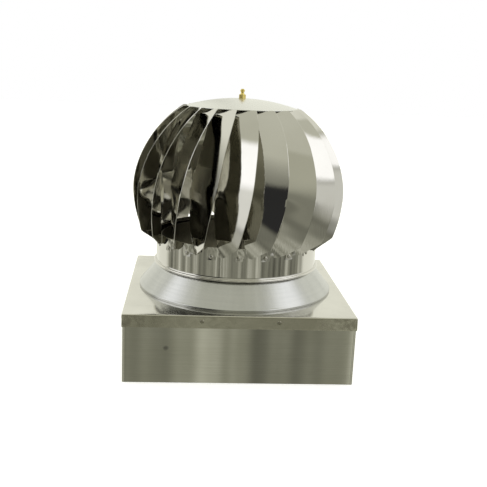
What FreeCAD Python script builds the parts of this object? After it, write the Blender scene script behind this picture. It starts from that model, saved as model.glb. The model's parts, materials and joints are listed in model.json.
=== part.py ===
import FreeCAD, Part
import Sketcher
import math
import os

# Rotating chimney cowl on a square base.
# Millimetres, +Z up, origin at the centre of the base sleeve's bottom edge.
# A square sleeve and a folded lid carry a round neck with a conical flashing.
# A spindle stands on two crossed bars in the neck. A head of twenty curved
# vanes between a dome and a skirt turns on the spindle in two greased bushes.

doc = FreeCAD.newDocument("chimney_cowl")
sheet = doc.addObject("Spreadsheet::Sheet", "dims")

VALUES = [
    # base
    ("base_side", 297.8), ("base_height", 90.0), ("base_sheet", 1.0), ("base_bend", 2.0),
    ("lid_side", 300.0), ("lid_top", 91.0), ("lid_sheet", 1.0), ("lid_flange", 17.0), ("lid_bend", 1.6),
    ("lid_hole", 107.1),
    # fixed neck and flashing
    ("neck_rad", 107.0), ("neck_sheet", 1.0), ("neck_top", 163.0), ("neck_flange", 119.0),
    ("flash_sheet", 0.8), ("flash_rim", 136.5), ("flash_hem", 3.4), ("flash_shoulder", 109.6),
    ("flash_shoulder_z", 126.0), ("flash_top", 134.0),
    # crossed bars and spindle
    ("bar_width", 25.0), ("bar_thick", 3.0), ("bar_reach", 105.1), ("bar_z", 118.0), ("bar_leg", 98.0),
    ("bar_hole", 6.1),
    ("stud_rad", 6.0), ("stud_end", 99.0), ("foot_rad", 12.0), ("foot_thick", 6.0),
    ("shaft_rad", 8.0), ("shaft_top", 341.0), ("stop_rad", 11.0), ("stop_z", 247.0), ("stop_thick", 4.0),
    ("nut_flats", 18.0), ("nut_thick", 10.0), ("nut_washer", 12.0), ("nut_washer_thick", 2.5),
    # hub of the turning head
    ("hub_rad", 16.0), ("hub_bore", 11.5), ("hub_bottom", 239.0), ("hub_roof", 343.5), ("hub_flange", 32.0),
    ("hub_flange_thick", 2.5), ("hub_tap", 4.0),
    ("ring_groove", 12.4), ("ring_z", 242.0), ("ring_thick", 1.4), ("ring_in", 9.4), ("ring_gap", 8.0),
    ("bush_bore", 8.05), ("bush_long", 25.0), ("bush_low", 253.0), ("bush_high", 316.0),
    ("thrust_in", 8.3), ("thrust_out", 11.1), ("thrust_thick", 1.85),
    # dome
    ("head_sheet", 0.8), ("dome_top", 355.0), ("dome_ball", 253.0), ("dome_rim", 76.0), ("dome_hole", 4.1),
    # skirt
    ("skirt_rad", 113.5), ("skirt_low", 126.6), ("skirt_top", 169.3), ("bead_rad", 1.9),
    # vanes
    ("vane_count", 20), ("vane_phase", -113.0), ("vane_sheet", 0.8), ("vane_lead", 27.0),
    ("tab_low", 157.0), ("tab_high", 169.3), ("tab_turn", 9.6),
    ("tab_gap", 0.05), ("ear_low", 152.3), ("ear_turn", 6.0),
    # rivets
    ("rivet_rad", 1.5), ("rivet_head", 2.9), ("rivet_rise", 1.5), ("rivet_tail", 2.3), ("rivet_tail_rise", 1.2),
    ("rivet_z", 156.8), ("rivet_turn", 3.0),
    ("lid_rivet_x", 49.0), ("lid_rivet_z", 83.5),
    # grease nipple
    ("nip_flats", 9.0), ("nip_hex", 5.0), ("nip_stem", 3.95), ("nip_stem_end", 345.5), ("nip_neck", 2.2),
    ("nip_head", 3.25), ("nip_top", 367.6), ("nip_bore", 1.0), ("nip_ball", 0.95),
]

# Sections of a vane, from the bottom up: height above the lid, radius and
# angle of its outer edge, lean of its width inwards from the round of the
# head, and width. Angles are in degrees, from the outer edge at mid height.
VANE = [
    (50.0, 122.5, -11.2, 46.5, 18.0), (62.0, 129.0, -9.5, 46.5, 30.5), (72.0, 133.6, -8.2, 46.5, 39.0),
    (82.0, 137.5, -7.0, 46.5, 45.0), (95.0, 141.2, -5.5, 46.5, 50.5), (110.0, 144.3, -4.1, 46.2, 55.0),
    (125.0, 146.1, -2.7, 45.0, 57.0), (145.0, 146.4, -1.25, 42.5, 58.0), (165.0, 143.1, 0.0, 41.5, 55.5),
    (188.0, 135.2, 1.2, 40.0, 51.5), (208.0, 124.6, 2.5, 37.0, 48.0), (226.0, 111.2, 3.8, 33.5, 44.0),
    (241.0, 95.8, 5.05, 28.0, 41.0), (252.0, 80.5, 5.9, 22.5, 39.0), (257.0, 72.0, 6.3, 20.0, 38.0),
]
for i, row in enumerate(VANE):
    for key, value in zip(("vane_z", "vane_ro", "vane_to", "vane_lean", "vane_w"), row):
        VALUES.append(("%s_%02d" % (key, i + 1), value))

for i, (name, value) in enumerate(VALUES):
    sheet.set("A%d" % (i + 1), name)
    sheet.set("B%d" % (i + 1), repr(float(value)))
    sheet.setAlias("B%d" % (i + 1), name)
doc.recompute()
NUM = dict(VALUES)


class Dim:
    """A length or angle: its value now, and the sheet formula that drives it."""

    def __init__(self, text, value):
        self.text = text
        self.value = float(value)

    def join(self, other, sign, value):
        other = dim(other)
        return Dim("(%s %s %s)" % (self.text, sign, other.text), value(self.value, other.value))

    def __add__(self, o):
        return self.join(o, "+", lambda a, b: a + b)

    def __radd__(self, o):
        return dim(o) + self

    def __sub__(self, o):
        return self.join(o, "-", lambda a, b: a - b)

    def __rsub__(self, o):
        return dim(o) - self

    def __mul__(self, o):
        return self.join(o, "*", lambda a, b: a * b)

    def __rmul__(self, o):
        return dim(o) * self

    def __truediv__(self, o):
        return self.join(o, "/", lambda a, b: a / b)

    def __neg__(self):
        return Dim("(0 - %s)" % self.text, -self.value)


def dim(x):
    return x if isinstance(x, Dim) else Dim(repr(float(x)), x)


def d(name):
    return Dim("dims." + name, NUM[name])


def root(x):
    return Dim("sqrt(%s)" % x.text, math.sqrt(x.value))


def polar(r, deg):
    r, deg = dim(r), dim(deg)
    a = math.radians(deg.value)
    return (Dim("(%s * cos(%s))" % (r.text, deg.text), r.value * math.cos(a)),
            Dim("(%s * sin(%s))" % (r.text, deg.text), r.value * math.sin(a)))


BUILT = []


def new_body(label, keep=True):
    body = doc.addObject("PartDesign::Body", label)
    body.Label = label
    if keep:
        BUILT.append(body)
    return body


def plane(body, role):
    return [f for f in body.Origin.OriginFeatures if f.Role == role][0]


def new_sketch(body, name, role, lift=None, side=None):
    sk = body.newObject("Sketcher::SketchObject", name)
    sk.AttachmentSupport = [(plane(body, role), "")]
    sk.MapMode = "FlatFace"
    if lift is not None:
        lift = dim(lift)
        sk.AttachmentOffset = FreeCAD.Placement(FreeCAD.Vector(0, 0, lift.value), FreeCAD.Rotation())
        sk.setExpression("AttachmentOffset.Base.z", lift.text)
    if side is not None:
        side = dim(side)
        sk.AttachmentOffset = FreeCAD.Placement(FreeCAD.Vector(0, side.value, 0), FreeCAD.Rotation())
        sk.setExpression("AttachmentOffset.Base.y", side.text)
    return sk


def fix_point(sk, geo, end, x, y):
    """Hold one end of a line at sheet-driven coordinates."""
    for kind, v, axis in (("DistanceX", dim(x), -2), ("DistanceY", dim(y), -1)):
        if abs(v.value) < 1e-9:
            sk.addConstraint(Sketcher.Constraint("PointOnObject", geo, end, axis))
        else:
            n = sk.addConstraint(Sketcher.Constraint(kind, -1, 1, geo, end, v.value))
            sk.setExpression("Constraints[%d]" % n, v.text)


def outline(sk, points, arcs=None):
    """Closed outline through sheet-driven points. arcs maps the index of a
    side to (radius, centre), for a side that is an arc of a circle."""
    arcs = arcs or {}
    n = len(points)
    first = sk.GeometryCount
    for i in range(n):
        a, b = points[i], points[(i + 1) % n]
        p = FreeCAD.Vector(dim(a[0]).value, dim(a[1]).value, 0)
        q = FreeCAD.Vector(dim(b[0]).value, dim(b[1]).value, 0)
        if i in arcs:
            rad, cen = arcs[i]
            c = FreeCAD.Vector(dim(cen[0]).value, dim(cen[1]).value, 0)
            a0 = math.atan2(p.y - c.y, p.x - c.x)
            a1 = math.atan2(q.y - c.y, q.x - c.x)
            turn = (a1 - a0 + math.pi) % (2 * math.pi) - math.pi
            lo, hi = (a0, a0 + turn) if turn > 0 else (a0 + turn, a0)
            sk.addGeometry(Part.ArcOfCircle(Part.Circle(c, FreeCAD.Vector(0, 0, 1), dim(rad).value), lo, hi), False)
            arcs[i] = (rad, turn > 0)
        else:
            sk.addGeometry(Part.LineSegment(p, q), False)

    def ends(i):
        if i in arcs and not arcs[i][1]:
            return 2, 1
        return 1, 2

    for i in range(n):
        j = (i + 1) % n
        sk.addConstraint(Sketcher.Constraint("Coincident", first + i, ends(i)[1], first + j, ends(j)[0]))
    for i in range(n):
        fix_point(sk, first + i, ends(i)[0], *points[i])
    for i, (rad, _) in arcs.items():
        k = sk.addConstraint(Sketcher.Constraint("Radius", first + i, dim(rad).value))
        sk.setExpression("Constraints[%d]" % k, dim(rad).text)


def circle(sk, x, y, rad):
    x, y, rad = dim(x), dim(y), dim(rad)
    g = sk.addGeometry(Part.Circle(FreeCAD.Vector(x.value, y.value, 0), FreeCAD.Vector(0, 0, 1), rad.value), False)
    fix_point(sk, g, 3, x, y)
    k = sk.addConstraint(Sketcher.Constraint("Radius", g, rad.value))
    sk.setExpression("Constraints[%d]" % k, rad.text)


def box(sk, half_x, half_y):
    outline(sk, [(-half_x, -half_y), (half_x, -half_y), (half_x, half_y), (-half_x, half_y)])


def hexagon(sk, flats):
    r = dim(flats) / Dim("sqrt(3)", math.sqrt(3))
    outline(sk, [polar(r, 60.0 * k + 30.0) for k in range(6)])


def pad(body, sk, length, reverse=False, midplane=False):
    f = body.newObject("PartDesign::Pad", "Pad")
    f.Profile = sk
    f.Length = dim(length).value
    f.setExpression("Length", dim(length).text)
    f.Reversed = reverse
    f.Midplane = midplane
    doc.recompute()
    return f


def cut(body, sk, length=None, reverse=False, midplane=False):
    before = body.Shape.Volume
    f = body.newObject("PartDesign::Pocket", "Pocket")
    f.Profile = sk
    if length is None:
        f.Type = 1
    else:
        f.Length = dim(length).value
        f.setExpression("Length", dim(length).text)
    f.Reversed = reverse
    f.Midplane = midplane
    doc.recompute()
    if body.Shape.Volume > before - 1e-3:
        raise RuntimeError("pocket cuts nothing in " + body.Label)
    return f


def turn(body, sk, axis="V_Axis", angle=None, reverse=False):
    f = body.newObject("PartDesign::Revolution", "Revolution")
    f.Profile = sk
    f.ReferenceAxis = (sk, [axis])
    f.Angle = 360.0 if angle is None else dim(angle).value
    if angle is not None:
        f.setExpression("Angle", dim(angle).text)
    f.Reversed = reverse
    doc.recompute()
    return f


def groove(body, sk, axis="V_Axis"):
    before = body.Shape.Volume
    f = body.newObject("PartDesign::Groove", "Groove")
    f.Profile = sk
    f.ReferenceAxis = (sk, [axis])
    f.Angle = 360.0
    doc.recompute()
    if body.Shape.Volume > before - 1e-3:
        raise RuntimeError("groove cuts nothing in " + body.Label)
    return f


def fillet_edges(body, feature, rad, test):
    shape = feature.Shape
    names = ["Edge%d" % (i + 1) for i, e in enumerate(shape.Edges) if test(e)]
    f = body.newObject("PartDesign::Fillet", "Fillet")
    f.Base = (feature, names)
    f.Radius = dim(rad).value
    f.setExpression("Radius", dim(rad).text)
    doc.recompute()
    return f


def upright(e):
    a, b = e.Vertexes[0].Point, e.Vertexes[-1].Point
    return abs(a.x - b.x) < 1e-6 and abs(a.y - b.y) < 1e-6


def polar_copies(body, feature, count):
    f = body.newObject("PartDesign::PolarPattern", "PolarPattern")
    f.Originals = [feature]
    f.Axis = (plane(body, "Z_Axis"), [""])
    f.Angle = 360.0
    f.Occurrences = int(dim(count).value)
    f.setExpression("Occurrences", dim(count).text)
    body.Tip = f
    doc.recompute()
    return f


# ---------------------------------------------------------------- base
# Sleeve folded from sheet, open top and bottom.
b = new_body("base_box")
s = new_sketch(b, "base_outer", "XY_Plane")
box(s, d("base_side") / 2, d("base_side") / 2)
p = pad(b, s, d("base_height"))
f = fillet_edges(b, p, d("base_bend"), upright)
s = new_sketch(b, "base_inner", "XY_Plane")
box(s, d("base_side") / 2 - d("base_sheet"), d("base_side") / 2 - d("base_sheet"))
c = cut(b, s, None, reverse=True)
fillet_edges(b, c, d("base_bend") - d("base_sheet"),
             lambda e: upright(e) and abs(abs(e.Vertexes[0].Point.x) - 147.9) < 0.02)

# Lid with its four sides folded down over the sleeve and a round hole.
b = new_body("cover_plate")
s = new_sketch(b, "lid_outer", "XY_Plane", lift=d("lid_top") - d("lid_flange"))
box(s, d("lid_side") / 2, d("lid_side") / 2)
p = pad(b, s, d("lid_flange"))
f = fillet_edges(b, p, d("lid_bend"),
                 lambda e: upright(e) or min(v.Point.z for v in e.Vertexes) > NUM["lid_top"] - 1e-6)
s = new_sketch(b, "lid_inner", "XY_Plane", lift=d("lid_top") - d("lid_flange"))
box(s, d("lid_side") / 2 - d("lid_sheet"), d("lid_side") / 2 - d("lid_sheet"))
cut(b, s, d("lid_flange") - d("lid_sheet"), reverse=True)
s = new_sketch(b, "lid_hole_edge", "XY_Plane", lift=d("lid_top") - d("lid_flange"))
circle(s, 0, 0, d("lid_hole"))
cut(b, s, None, reverse=True)

# Round neck, flanged out under the lid.
b = new_body("neck_tube")
s = new_sketch(b, "neck_profile", "XZ_Plane")
zf = d("lid_top") - d("lid_sheet")
ri = d("neck_rad") - d("neck_sheet")
outline(s, [(ri, zf - d("neck_sheet")), (d("neck_flange"), zf - d("neck_sheet")), (d("neck_flange"), zf),
            (d("neck_rad"), zf), (d("neck_rad"), d("neck_top")), (ri, d("neck_top"))])
turn(b, s)

# Spun flashing: low upright hem on the lid, cone, short collar round the neck.
b = new_body("cone_flashing")
s = new_sketch(b, "flashing_profile", "XZ_Plane")
t = d("flash_sheet")
rc = d("neck_rad") + 0.05
z0 = d("lid_top")
outline(s, [
    (d("flash_rim") - t, z0), (d("flash_rim"), z0), (d("flash_rim"), z0 + d("flash_hem") - 0.5),
    (d("flash_rim") - 0.5, z0 + d("flash_hem")), (d("flash_shoulder") + t + 5.6, d("flash_shoulder_z") - 7.4),
    (d("flash_shoulder") + t - 0.5, d("flash_shoulder_z")), (rc + t, d("flash_shoulder_z") + 3.6),
    (rc + t, d("flash_top")), (rc, d("flash_top")), (rc, d("flash_shoulder_z") + 3.2),
    (d("flash_shoulder") - 0.5, d("flash_shoulder_z") - 0.4),
    (d("flash_shoulder") + 5.7, d("flash_shoulder_z") - 7.9), (d("flash_rim") - t, z0 + d("flash_hem") - 0.9)])
turn(b, s)

# Two bars crossed in the neck, their ends turned down against its wall.
for label, role, rise in (("strut_lower", "XZ_Plane", 0.0), ("strut_upper", "YZ_Plane", 1.0)):
    b = new_body(label)
    s = new_sketch(b, label + "_profile", role)
    z0 = d("bar_z") + d("bar_thick") * rise
    z1 = z0 + d("bar_thick")
    x0, x1 = d("bar_reach") - d("bar_thick"), d("bar_reach")
    outline(s, [(-x1, d("bar_leg")), (-x0, d("bar_leg")), (-x0, z0), (x0, z0), (x0, d("bar_leg")),
                (x1, d("bar_leg")), (x1, z1), (-x1, z1)])
    p = pad(b, s, d("bar_width"), midplane=True)
    s = new_sketch(b, label + "_bore", "XY_Plane", lift=d("bar_z") - 5)
    circle(s, 0, 0, d("bar_hole"))
    c = cut(b, s, 20.0, reverse=True)
    axis = "YZ_Plane" if role == "XZ_Plane" else "XZ_Plane"
    s = new_sketch(b, label + "_rivet_holes", axis)
    for z in (104.0, 112.0):
        circle(s, 0, z, d("rivet_rad") + 0.05)
    cut(b, s, 300.0, midplane=True)

# Turned spindle: threaded stud, foot on the bars, thrust stop, journal.
b = new_body("spindle")
s = new_sketch(b, "spindle_profile", "XZ_Plane")
zb = d("bar_z") + d("bar_thick") * 2
outline(s, [
    (0, d("stud_end")), (d("stud_rad") - 1, d("stud_end")), (d("stud_rad"), d("stud_end") + 1), (d("stud_rad"), zb),
    (d("foot_rad"), zb), (d("foot_rad"), zb + d("foot_thick")), (d("shaft_rad"), zb + d("foot_thick")),
    (d("shaft_rad"), d("stop_z")), (d("stop_rad"), d("stop_z")), (d("stop_rad"), d("stop_z") + d("stop_thick")),
    (d("shaft_rad"), d("stop_z") + d("stop_thick")), (d("shaft_rad"), d("shaft_top") - 1.5),
    (d("shaft_rad") - 1.5, d("shaft_top")), (0, d("shaft_top"))])
turn(b, s)

b = new_body("spindle_washer")
s = new_sketch(b, "washer_face", "XY_Plane", lift=d("bar_z") - d("nut_washer_thick"))
circle(s, 0, 0, d("nut_washer"))
circle(s, 0, 0, d("stud_rad") + 0.4)
pad(b, s, d("nut_washer_thick"))

b = new_body("spindle_nut")
s = new_sketch(b, "nut_face", "XY_Plane", lift=d("bar_z") - d("nut_washer_thick") - d("nut_thick"))
hexagon(s, d("nut_flats"))
circle(s, 0, 0, d("stud_rad") + 0.02)
pad(b, s, d("nut_thick"))

# ---------------------------------------------------------------- hub
ball = d("dome_ball")
zc = d("dome_top") - ball
under = ball - d("head_sheet")


def on_ball(rad, r):
    """Height of the sphere of this radius at distance r from the axis."""
    r = dim(r)
    return zc + root(rad * rad - r * r)


b = new_body("hub_housing")
s = new_sketch(b, "hub_profile", "XZ_Plane")
seat = under - d("tab_gap")
outline(s, [
    (d("hub_bore"), d("hub_bottom")), (d("hub_rad"), d("hub_bottom")),
    (d("hub_rad"), on_ball(seat - d("hub_flange_thick"), d("hub_rad"))),
    (d("hub_flange"), on_ball(seat - d("hub_flange_thick"), d("hub_flange"))),
    (d("hub_flange"), on_ball(seat, d("hub_flange"))),
    (d("hub_tap"), on_ball(seat, d("hub_tap"))),
    (d("hub_tap"), d("hub_roof")), (d("hub_bore"), d("hub_roof"))],
    {2: (seat - d("hub_flange_thick"), (0, zc)), 4: (seat, (0, zc))})
turn(b, s)
s = new_sketch(b, "ring_groove_profile", "XZ_Plane")
outline(s, [(d("hub_bore") - 1, d("ring_z")), (d("ring_groove"), d("ring_z")),
            (d("ring_groove"), d("ring_z") + d("ring_thick") + 0.2), (d("hub_bore") - 1, d("ring_z") + d("ring_thick") + 0.2)])
groove(b, s)

for label, low in (("lower_bush", "bush_low"), ("upper_bush", "bush_high")):
    b = new_body(label)
    s = new_sketch(b, label + "_face", "XY_Plane", lift=d(low))
    circle(s, 0, 0, d("hub_bore"))
    circle(s, 0, 0, d("bush_bore"))
    pad(b, s, d("bush_long"))

b = new_body("thrust_washer")
s = new_sketch(b, "thrust_face", "XY_Plane", lift=d("bush_low") - d("thrust_thick"))
circle(s, 0, 0, d("thrust_out"))
circle(s, 0, 0, d("thrust_in"))
pad(b, s, d("thrust_thick"))

b = new_body("retaining_ring")
s = new_sketch(b, "ring_face", "XY_Plane", lift=d("ring_z") + 0.1)
circle(s, 0, 0, d("ring_groove") - 0.1)
circle(s, 0, 0, d("ring_in"))
pad(b, s, d("ring_thick"))
s = new_sketch(b, "ring_gap_cut", "XY_Plane", lift=d("ring_z") - 1)
outline(s, [(5, -d("ring_gap") / 2), (15, -d("ring_gap") / 2), (15, d("ring_gap") / 2), (5, d("ring_gap") / 2)])
cut(b, s, 5.0, reverse=True)

# ---------------------------------------------------------------- dome
b = new_body("dome_cap")
s = new_sketch(b, "dome_profile", "XZ_Plane")
outline(s, [
    (d("dome_hole"), on_ball(ball, d("dome_hole"))), (d("dome_rim"), on_ball(ball, d("dome_rim"))),
    (d("dome_rim"), on_ball(under, d("dome_rim"))), (d("dome_hole"), on_ball(under, d("dome_hole")))],
    {0: (ball, (0, zc)), 2: (under, (0, zc))})
turn(b, s)

# Brass grease nipple: stem, hexagon, neck and coned head, with its ball.
b = new_body("grease_nipple")
s = new_sketch(b, "nipple_profile", "XZ_Plane")
zh = d("dome_top") + 0.02
zn = zh + d("nip_hex")
zt = d("nip_top")
outline(s, [
    (d("nip_bore"), d("nip_stem_end")), (d("nip_stem"), d("nip_stem_end")), (d("nip_stem"), zh),
    (d("nip_flats") / 2 - 0.6, zh), (d("nip_flats") / 2 - 0.6, zn), (d("nip_head") + 0.1, zn), (d("nip_neck"), zn + 2.0),
    (d("nip_neck"), zn + 3.2), (d("nip_head"), zn + 5.0), (d("nip_head"), zn + 5.6), (d("nip_head") - 1.5, zt),
    (d("nip_bore"), zt)])
turn(b, s)
s = new_sketch(b, "nipple_hex", "XY_Plane", lift=zh)
hexagon(s, d("nip_flats"))
circle(s, 0, 0, d("nip_bore") + 1.5)
pad(b, s, d("nip_hex"))

b = doc.addObject("Part::Sphere", "nipple_ball")
b.Label = "nipple_ball"
b.setExpression("Radius", "dims.nip_ball")
b.setExpression("Placement.Base.z", "dims.nip_top - 1.2")
BUILT.append(b)

# ---------------------------------------------------------------- skirt
# Plain band, its top edge drawn in a little, a round bead rolled at its foot.
b = new_body("rotor_skirt")
s = new_sketch(b, "skirt_profile", "XZ_Plane")
t = d("head_sheet")
ro = d("skirt_rad")
outline(s, [(ro - t, d("skirt_low")), (ro, d("skirt_low")), (ro, d("skirt_top")), (ro - t, d("skirt_top"))])
turn(b, s)
s = new_sketch(b, "bead_profile", "XZ_Plane")
circle(s, ro + d("bead_rad") - t, d("skirt_low"), d("bead_rad"))
turn(b, s)
s = new_sketch(b, "skirt_rivet_hole", "YZ_Plane")
circle(s, 0, d("rivet_z"), d("rivet_rad") + 0.05)
c = cut(b, s, 150.0, reverse=True)
polar_copies(b, c, d("vane_count"))
b.Placement = FreeCAD.Placement(FreeCAD.Vector(), FreeCAD.Rotation(FreeCAD.Vector(0, 0, 1), NUM["vane_phase"] + NUM["rivet_turn"]))
b.setExpression("Placement.Rotation.Angle", "dims.vane_phase + dims.rivet_turn")

# ---------------------------------------------------------------- vanes
# One strip of sheet: a blade straight across its width and curved along its
# length, a tab folded along the skirt at its foot, and one under the dome.
b = new_body("vane_01")
lead = d("vane_lead")
lid = d("lid_top")
sheet_t = d("vane_sheet")
top_out = under - d("tab_gap")
top_in = top_out - sheet_t
s = new_sketch(b, "top_tab", "XY_Plane", lift=lid + 240.0)
outline(s, [polar(65.0, lead - 6.0), polar(80.0, lead - 3.0), polar(80.5, lead + 5.2), polar(65.0, lead + 6.2)])
pad(b, s, 30.0)
s = new_sketch(b, "top_tab_below", "XZ_Plane")
outline(s, [(0, lid + 230), (100, lid + 230), (100, on_ball(top_in, 100)), (0, zc + top_in)], {2: (top_in, (0, zc))})
groove(b, s)
s = new_sketch(b, "top_tab_above", "XZ_Plane")
outline(s, [(0, zc + top_out), (100, on_ball(top_out, 100)), (100, lid + 290), (0, lid + 290)], {0: (top_out, (0, zc))})
groove(b, s)


def edge_point(i):
    z, r, a = VANE[i][0], VANE[i][1], math.radians(NUM["vane_lead"] + VANE[i][2])
    return FreeCAD.Vector(r * math.cos(a), r * math.sin(a), NUM["lid_top"] + z)


sections = []
for i in range(len(VANE)):
    n = "_%02d" % (i + 1)
    lo, hi = max(i - 1, 0), min(i + 1, len(VANE) - 1)
    along = (edge_point(hi) - edge_point(lo)).normalize()
    az = math.radians(NUM["vane_lead"] + VANE[i][2])
    out = FreeCAD.Vector(math.cos(az), math.sin(az), 0)
    back = FreeCAD.Vector(math.sin(az), -math.cos(az), 0)
    up = FreeCAD.Vector(0, 0, 1)
    slope = (VANE[hi][1] - VANE[lo][1]) / (VANE[hi][0] - VANE[lo][0])
    face = (out - up * slope).normalize()
    lean = math.radians(VANE[i][3])
    wide = back * math.cos(lean) - face * math.sin(lean)
    wide = (wide - along * wide.dot(along)).normalize()
    thick = along.cross(wide)
    o = edge_point(i)
    s = new_sketch(b, "blade" + n, "XY_Plane")
    s.AttachmentOffset = FreeCAD.Placement(FreeCAD.Matrix(
        wide.x, thick.x, along.x, o.x, wide.y, thick.y, along.y, o.y, wide.z, thick.z, along.z, o.z, 0, 0, 0, 1))
    px, py = polar(d("vane_ro" + n), lead + d("vane_to" + n))
    s.setExpression("AttachmentOffset.Base.x", px.text)
    s.setExpression("AttachmentOffset.Base.y", py.text)
    s.setExpression("AttachmentOffset.Base.z", (lid + d("vane_z" + n)).text)
    outline(s, [(0, 0), (d("vane_w" + n), 0), (d("vane_w" + n), sheet_t), (0, sheet_t)])
    sections.append(s)
doc.recompute()
f = b.newObject("PartDesign::AdditiveLoft", "Blade")
f.Profile = sections[0]
f.Sections = sections[1:]
f.Ruled = False
doc.recompute()
s = new_sketch(b, "blade_top_trim", "XZ_Plane")
rim_out = d("dome_rim") + 0.6
outline(s, [(0, zc + top_out), (rim_out, on_ball(top_out, rim_out)), (rim_out, lid + 252.4), (100, lid + 252.4),
            (100, lid + 290), (0, lid + 290)], {0: (top_out, (0, zc))})
groove(b, s)
s = new_sketch(b, "blade_foot_trim", "XZ_Plane")
inside = d("skirt_rad") + d("tab_gap")
outline(s, [(90, lid + 40), (160, lid + 40), (160, lid + 97.0), (137.0, lid + 81.5), (118.0, lid + 66.0), (inside, lid + 66.0),
            (inside, d("skirt_top") + 0.9), (90, d("skirt_top") + 0.9)])
groove(b, s)
r0 = d("skirt_rad") + d("tab_gap")
s = new_sketch(b, "foot_tab", "XZ_Plane")
outline(s, [(r0, d("tab_low")), (r0 + sheet_t, d("tab_low")), (r0 + sheet_t, d("tab_high")), (r0, d("tab_high"))])
turn(b, s, angle=d("tab_turn"))
s = new_sketch(b, "foot_ear", "XZ_Plane")
outline(s, [(r0, d("ear_low")), (r0 + sheet_t, d("ear_low")), (r0 + sheet_t, d("tab_low") + 1), (r0, d("tab_low") + 1)])
turn(b, s, angle=d("ear_turn"))
s = new_sketch(b, "foot_rivet_hole", "YZ_Plane")
circle(s, (r0 + sheet_t) * Dim("sin(dims.rivet_turn)", math.sin(math.radians(NUM["rivet_turn"]))), d("rivet_z"), d("rivet_rad") + 0.1)
cut(b, s, 200.0, reverse=True)
b.Placement = FreeCAD.Placement(FreeCAD.Vector(), FreeCAD.Rotation(FreeCAD.Vector(0, 0, 1), NUM["vane_phase"]))
b.setExpression("Placement.Rotation.Angle", "dims.vane_phase")
doc.recompute()
first_vane = b
for k in range(1, int(NUM["vane_count"])):
    v = doc.addObject("Part::Compound", "vane_%02d" % (k + 1))
    v.Label = "vane_%02d" % (k + 1)
    v.Links = [first_vane]
    v.Placement = FreeCAD.Placement(FreeCAD.Vector(), FreeCAD.Rotation(FreeCAD.Vector(0, 0, 1), 360.0 / NUM["vane_count"] * k))
    v.setExpression("Placement.Rotation.Angle", "360 / dims.vane_count * %d" % k)
    BUILT.append(v)

# ---------------------------------------------------------------- rivets


def rivet_group(label, grip, spots):
    """Equal rivets: head at the far end of the grip, set tail at the near
    end. spots lists (base of the grip, direction towards the head)."""
    m = new_body(label + "_one", keep=False)
    sk = new_sketch(m, label + "_profile", "XZ_Plane")
    g = dim(grip)
    r, h, rise = d("rivet_rad"), d("rivet_head"), d("rivet_rise")
    tr, trise = d("rivet_tail"), d("rivet_tail_rise")
    outline(sk, [(0, -trise), (tr * 0.7, -trise), (tr, trise * -0.45), (tr, 0), (r, 0), (r, g), (h, g), (h * 0.93, g + rise * 0.38),
                 (h * 0.74, g + rise * 0.72), (h * 0.42, g + rise * 0.94), (0, g + rise)])
    turn(m, sk)
    items = []
    for i, (base, way) in enumerate(spots):
        o = doc.addObject("Part::Compound", "%s_%02d" % (label, i + 1))
        o.Links = [m]
        o.Placement = FreeCAD.Placement(FreeCAD.Vector(*base), FreeCAD.Rotation(FreeCAD.Vector(0, 0, 1), FreeCAD.Vector(*way)))
        items.append(o)
    group = doc.addObject("Part::Compound", label)
    group.Label = label
    group.Links = items
    BUILT.append(group)


def ring_spots(count, first, rad, z):
    out = []
    for k in range(int(count)):
        a = math.radians(first + 360.0 / count * k)
        out.append(((rad * math.cos(a), rad * math.sin(a), z), (math.cos(a), math.sin(a), 0)))
    return out


rivet_group("vane_rivets", d("head_sheet") + d("tab_gap") + d("vane_sheet") + 0.03,
            ring_spots(NUM["vane_count"], NUM["vane_phase"] + NUM["rivet_turn"], NUM["skirt_rad"] - NUM["head_sheet"] - 0.03, NUM["rivet_z"]))
spots = []
for a in (0, 90, 180, 270):
    c0, s0 = round(math.cos(math.radians(a))), round(math.sin(math.radians(a)))
    for z in (104.0, 112.0):
        spots.append((((NUM["bar_reach"] - NUM["bar_thick"]) * c0, (NUM["bar_reach"] - NUM["bar_thick"]) * s0, z), (c0, s0, 0)))
rivet_group("strut_rivets", d("bar_thick") + d("neck_rad") - d("bar_reach"), spots)
spots = []
for a in (0, 90, 180, 270):
    c0, s0 = round(math.cos(math.radians(a))), round(math.sin(math.radians(a)))
    for x in (-NUM["lid_rivet_x"], NUM["lid_rivet_x"]):
        r = NUM["base_side"] / 2 - NUM["base_sheet"]
        spots.append(((r * c0 - x * s0, r * s0 + x * c0, NUM["lid_rivet_z"]), (c0, s0, 0)))
rivet_group("lid_rivets", d("lid_side") / 2 - d("base_side") / 2 + d("base_sheet"), spots)
spots = []
for k in range(8):
    a = math.radians(22.5 + 45.0 * k)
    spots.append(((113.0 * math.cos(a), 113.0 * math.sin(a), NUM["lid_top"] - NUM["lid_sheet"] - NUM["neck_sheet"]), (0, 0, 1)))
rivet_group("neck_rivets", d("lid_sheet") + d("neck_sheet"), spots)

# Holes for those rivets.
b = doc.getObject("base_box")
for role in ("YZ_Plane", "XZ_Plane"):
    s = new_sketch(b, "lid_rivet_holes_" + role[:2], role)
    for x in (-d("lid_rivet_x"), d("lid_rivet_x")):
        circle(s, x, d("lid_rivet_z"), d("rivet_rad") + 0.05)
    cut(b, s, 400.0, midplane=True)
b = doc.getObject("cover_plate")
for role in ("YZ_Plane", "XZ_Plane"):
    s = new_sketch(b, "flange_rivet_holes_" + role[:2], role)
    for x in (-d("lid_rivet_x"), d("lid_rivet_x")):
        circle(s, x, d("lid_rivet_z"), d("rivet_rad") + 0.05)
    cut(b, s, 400.0, midplane=True)
for name in ("cover_plate", "neck_tube"):
    b = doc.getObject(name)
    s = new_sketch(b, name + "_neck_rivet_hole", "XY_Plane", lift=d("lid_top") - 10)
    circle(s, *polar(113.0, 22.5), d("rivet_rad") + 0.05)
    c = cut(b, s, 20.0, reverse=True)
    polar_copies(b, c, 8)
b = doc.getObject("neck_tube")
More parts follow.
